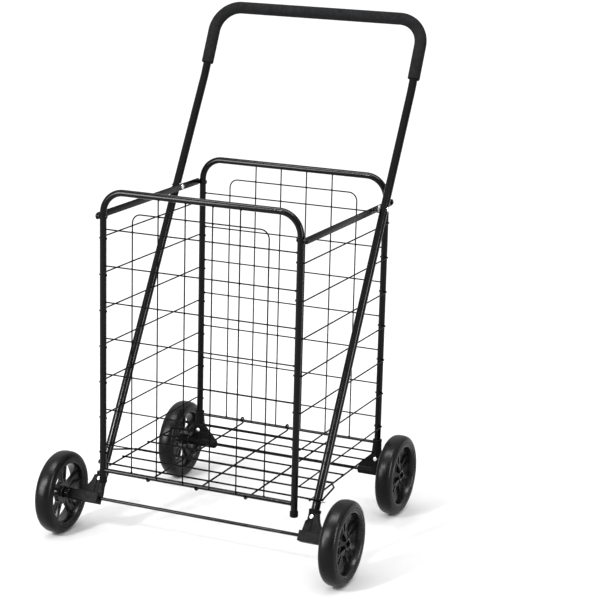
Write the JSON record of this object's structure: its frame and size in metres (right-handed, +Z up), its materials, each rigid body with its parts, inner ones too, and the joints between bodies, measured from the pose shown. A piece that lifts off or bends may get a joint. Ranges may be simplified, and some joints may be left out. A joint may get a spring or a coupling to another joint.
{
  "type": "folding shopping trolley",
  "caption": "Folding wire-basket shopping trolley with a tall padded handle, hinged side bars and floor, and plain spoked wheels.",
  "frame": {"origin": "bottom centre of the open trolley's bounding box, on the floor plane", "axes": "+X to the trolley's right, +Y towards the person who holds the handle, +Z up"},
  "size_m": [0.6274, 0.605, 0.99],
  "materials": {
    "gloss_black_tube": "gloss black powder coat on round steel tube",
    "satin_black_bar": "satin black powder coat on flat steel bar",
    "black_wire": "semi-gloss black powder coat on welded steel wire",
    "foam_grip": "matte dark grey closed-cell foam sleeve",
    "rubber_tyre": "satin black moulded tyre",
    "black_plastic": "moulded black plastic with a fine texture",
    "zinc_fastener": "bright zinc-plated steel",
    "pale_nylon": "pale translucent nylon"
  },
  "bodies": {
    "rear_frame": {"rear_frame_tube": "gloss_black_tube", "rear_panel_grid": "black_wire", "rear_hinge_rod": "gloss_black_tube", "rear_axle_rod": "gloss_black_tube", "rear_bracket_left": "black_plastic", "rear_bracket_right": "black_plastic", "rear_bracket_rivet_left": "zinc_fastener", "rear_bracket_rivet_right": "zinc_fastener", "side_bar_rear_rivet_left": "zinc_fastener", "side_bar_rear_rivet_right": "zinc_fastener"},
    "side_bars": {"side_bar_left": "satin_black_bar", "side_bar_right": "satin_black_bar"},
    "handle": {"handle_tube": "gloss_black_tube", "handle_grip": "foam_grip", "front_axle_rod": "gloss_black_tube", "front_bracket_left": "black_plastic", "front_bracket_right": "black_plastic", "front_bracket_rivet_left": "zinc_fastener", "front_bracket_rivet_right": "zinc_fastener", "handle_pivot_spacer_left": "pale_nylon", "handle_pivot_spacer_right": "pale_nylon", "handle_pivot_rivet_left": "zinc_fastener", "handle_pivot_rivet_right": "zinc_fastener", "floor_stop_pin_left": "zinc_fastener", "floor_stop_pin_right": "zinc_fastener"},
    "front_frame": {"front_frame_tube": "gloss_black_tube", "front_panel_grid": "black_wire", "front_bottom_bar": "gloss_black_tube", "front_leg_cap_left": "black_plastic", "front_leg_cap_right": "black_plastic", "side_bar_front_rivet_left": "zinc_fastener", "side_bar_front_rivet_right": "zinc_fastener"},
    "floor": {"floor_grid": "black_wire"},
    "side_wires_1": {"side_wire_left_1": "black_wire", "side_wire_right_1": "black_wire"},
    "side_wires_2": {"side_wire_left_2": "black_wire", "side_wire_right_2": "black_wire"},
    "side_wires_3": {"side_wire_left_3": "black_wire", "side_wire_right_3": "black_wire"},
    "side_wires_4": {"side_wire_left_4": "black_wire", "side_wire_right_4": "black_wire"},
    "side_wires_5": {"side_wire_left_5": "black_wire", "side_wire_right_5": "black_wire"},
    "side_wires_6": {"side_wire_left_6": "black_wire", "side_wire_right_6": "black_wire"},
    "side_wires_7": {"side_wire_left_7": "black_wire", "side_wire_right_7": "black_wire"},
    "front_wheel_left": {"front_tyre_left": "rubber_tyre", "front_rim_left": "black_plastic", "front_axle_cap_left": "black_plastic"},
    "front_wheel_right": {"front_tyre_right": "rubber_tyre", "front_rim_right": "black_plastic", "front_axle_cap_right": "black_plastic"},
    "rear_wheel_left": {"rear_tyre_left": "rubber_tyre", "rear_rim_left": "black_plastic", "rear_axle_cap_left": "black_plastic"},
    "rear_wheel_right": {"rear_tyre_right": "rubber_tyre", "rear_rim_right": "black_plastic", "rear_axle_cap_right": "black_plastic"}
  },
  "joints": [
    {"name": "fold", "type": "hinge", "parent": "rear_frame", "child": "side_bars", "pos_m": [0, 0.17807, 0.634], "axis": [-1, 0, 0], "range_deg": [0, 81]},
    {"name": "front_frame_swing", "type": "hinge", "parent": "side_bars", "child": "front_frame", "pos_m": [0, -0.22793, 0.634], "axis": [-1, 0, 0], "range_deg": [-81, 0]},
    {"name": "handle_swing", "type": "hinge", "parent": "side_bars", "child": "handle", "pos_m": [0, 0.10807, 0.634], "axis": [1, 0, 0], "range_deg": [0, 102]},
    {"name": "floor_swing", "type": "hinge", "parent": "rear_frame", "child": "floor", "pos_m": [0, 0.17807, 0.141], "axis": [-1, 0, 0], "range_deg": [0, 81]},
    {"name": "side_wires_swing_1", "type": "hinge", "parent": "rear_frame", "child": "side_wires_1", "pos_m": [0, 0.17807, 0.5928], "axis": [-1, 0, 0], "range_deg": [0, 81]},
    {"name": "side_wires_swing_2", "type": "hinge", "parent": "rear_frame", "child": "side_wires_2", "pos_m": [0, 0.17807, 0.5233], "axis": [-1, 0, 0], "range_deg": [0, 81]},
    {"name": "side_wires_swing_3", "type": "hinge", "parent": "rear_frame", "child": "side_wires_3", "pos_m": [0, 0.17807, 0.4538], "axis": [-1, 0, 0], "range_deg": [0, 81]},
    {"name": "side_wires_swing_4", "type": "hinge", "parent": "rear_frame", "child": "side_wires_4", "pos_m": [0, 0.17807, 0.3843], "axis": [-1, 0, 0], "range_deg": [0, 81]},
    {"name": "side_wires_swing_5", "type": "hinge", "parent": "rear_frame", "child": "side_wires_5", "pos_m": [0, 0.17807, 0.3148], "axis": [-1, 0, 0], "range_deg": [0, 81]},
    {"name": "side_wires_swing_6", "type": "hinge", "parent": "rear_frame", "child": "side_wires_6", "pos_m": [0, 0.17807, 0.2453], "axis": [-1, 0, 0], "range_deg": [0, 81]},
    {"name": "side_wires_swing_7", "type": "hinge", "parent": "rear_frame", "child": "side_wires_7", "pos_m": [0, 0.17807, 0.1758], "axis": [-1, 0, 0], "range_deg": [0, 81]},
    {"name": "front_wheel_spin_left", "type": "hinge", "parent": "handle", "child": "front_wheel_left", "pos_m": [-0.2944, -0.22253, 0.08], "axis": [1, 0, 0], "continuous": true},
    {"name": "front_wheel_spin_right", "type": "hinge", "parent": "handle", "child": "front_wheel_right", "pos_m": [0.2944, -0.22253, 0.08], "axis": [1, 0, 0], "continuous": true},
    {"name": "rear_wheel_spin_left", "type": "hinge", "parent": "rear_frame", "child": "rear_wheel_left", "pos_m": [-0.2426, 0.17807, 0.08], "axis": [1, 0, 0], "continuous": true},
    {"name": "rear_wheel_spin_right", "type": "hinge", "parent": "rear_frame", "child": "rear_wheel_right", "pos_m": [0.2426, 0.17807, 0.08], "axis": [1, 0, 0], "continuous": true}
  ],
  "couplings": [
    {"joint": "front_frame_swing", "follows": "fold", "ratio": -1},
    {"joint": "handle_swing", "follows": "fold", "ratio": 1.2521},
    {"joint": "floor_swing", "follows": "fold", "ratio": 1},
    {"joint": "side_wires_swing_1", "follows": "fold", "ratio": 1},
    {"joint": "side_wires_swing_2", "follows": "fold", "ratio": 1},
    {"joint": "side_wires_swing_3", "follows": "fold", "ratio": 1},
    {"joint": "side_wires_swing_4", "follows": "fold", "ratio": 1},
    {"joint": "side_wires_swing_5", "follows": "fold", "ratio": 1},
    {"joint": "side_wires_swing_6", "follows": "fold", "ratio": 1},
    {"joint": "side_wires_swing_7", "follows": "fold", "ratio": 1}
  ]
}
